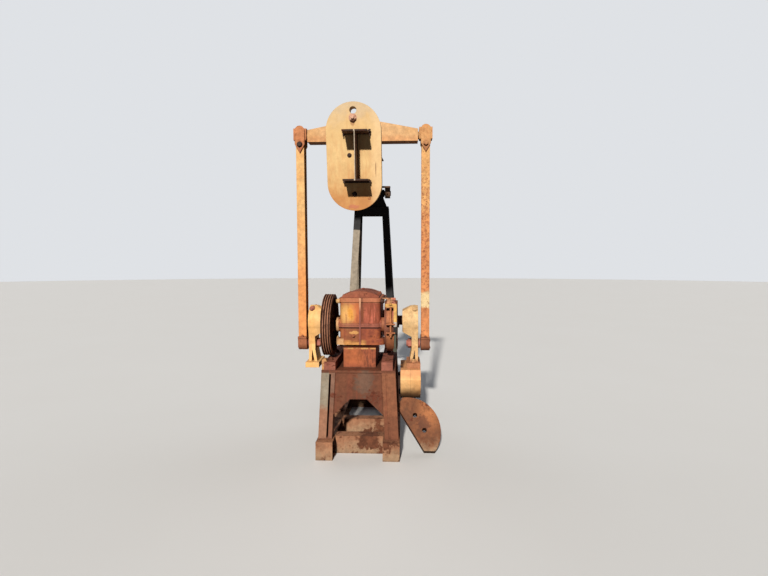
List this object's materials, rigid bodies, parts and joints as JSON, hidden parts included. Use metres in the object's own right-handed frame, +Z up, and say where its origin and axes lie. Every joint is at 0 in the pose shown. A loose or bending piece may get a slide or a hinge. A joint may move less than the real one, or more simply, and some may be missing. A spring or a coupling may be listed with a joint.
{
  "type": "beam pumping unit",
  "caption": "Old oil-well pumpjack seen from its tail: walking beam with an oval tail weight on a braced post, cranks, gear reducer and skid.",
  "frame": {"origin": "ground level on the centre line, straight under the crankshaft", "axes": "+X to the right seen from the tail, +Y forward to the well, +Z up"},
  "size_m": [1.3513, 3.2016, 3.241],
  "materials": {
    "skid_rust": "rusted",
    "stand_rust": "rusted paint",
    "case_paint": "faded paint, rust",
    "wheel_rust": "rusted",
    "post_paint": "faded paint, rust",
    "shaft_steel": "rusted",
    "crank_paint": "faded paint, rust",
    "beam_paint": "faded paint",
    "pitman_paint": "faded paint, rust"
  },
  "bodies": {
    "base": {"skid_rails": "skid_rust", "skid_cross_beams": "skid_rust", "left_stand_legs": "stand_rust", "right_stand_legs": "stand_rust", "stand_end_plates": "stand_rust", "stand_top_plate": "stand_rust", "stand_top_rails": "stand_rust", "pedestal": "case_paint", "gear_case_base": "case_paint", "gear_case_top": "case_paint", "gear_case_cover": "case_paint", "bearing_caps": "case_paint", "brake_band": "wheel_rust", "brake_lever": "wheel_rust", "left_post_legs": "post_paint", "right_post_legs": "post_paint", "post_cross_bars": "post_paint", "post_cap": "post_paint", "post_head": "post_paint", "saddle_shaft": "shaft_steel", "loose_counterweight": "crank_paint"},
    "cranks": {"crankshaft": "shaft_steel", "left_crank": "crank_paint", "right_crank": "crank_paint", "left_wrist_pin": "shaft_steel", "right_wrist_pin": "shaft_steel", "crank_counterweight": "crank_paint"},
    "drive": {"drive_shaft": "shaft_steel", "sheave": "wheel_rust", "brake_drum": "wheel_rust"},
    "beam": {"walking_beam": "beam_paint", "tail_counterweight": "beam_paint", "tail_clamps": "shaft_steel", "tail_bearing": "beam_paint", "saddle": "beam_paint", "horsehead": "beam_paint"},
    "pitmans": {"equalizer": "pitman_paint", "equalizer_shaft": "shaft_steel", "left_pitman": "pitman_paint", "right_pitman": "pitman_paint", "left_pitman_head": "pitman_paint", "right_pitman_head": "pitman_paint", "left_wrist_bearing": "wheel_rust", "right_wrist_bearing": "wheel_rust"}
  },
  "joints": [
    {"name": "crank_turn", "type": "hinge", "parent": "base", "child": "cranks", "pos_m": [0, 0, 1.09], "axis": [1, 0, 0], "range_deg": [0, 180]},
    {"name": "sheave_spin", "type": "hinge", "parent": "base", "child": "drive", "pos_m": [0, -0.33, 1.09], "axis": [1, 0, 0], "continuous": true},
    {"name": "beam_rock", "type": "hinge", "parent": "base", "child": "beam", "pos_m": [0, 1.1, 2.5], "axis": [1, 0, 0], "range_deg": [-22.5, 0]},
    {"name": "equalizer_swing", "type": "hinge", "parent": "beam", "child": "pitmans", "pos_m": [0, -0.12064, 2.8311], "axis": [1, 0, 0], "range_deg": [0, 16.1]}
  ],
  "couplings": [
    {"joint": "beam_rock", "follows": "crank_turn", "ratio": -0.12478},
    {"joint": "equalizer_swing", "follows": "crank_turn", "ratio": 0.089271}
  ]
}
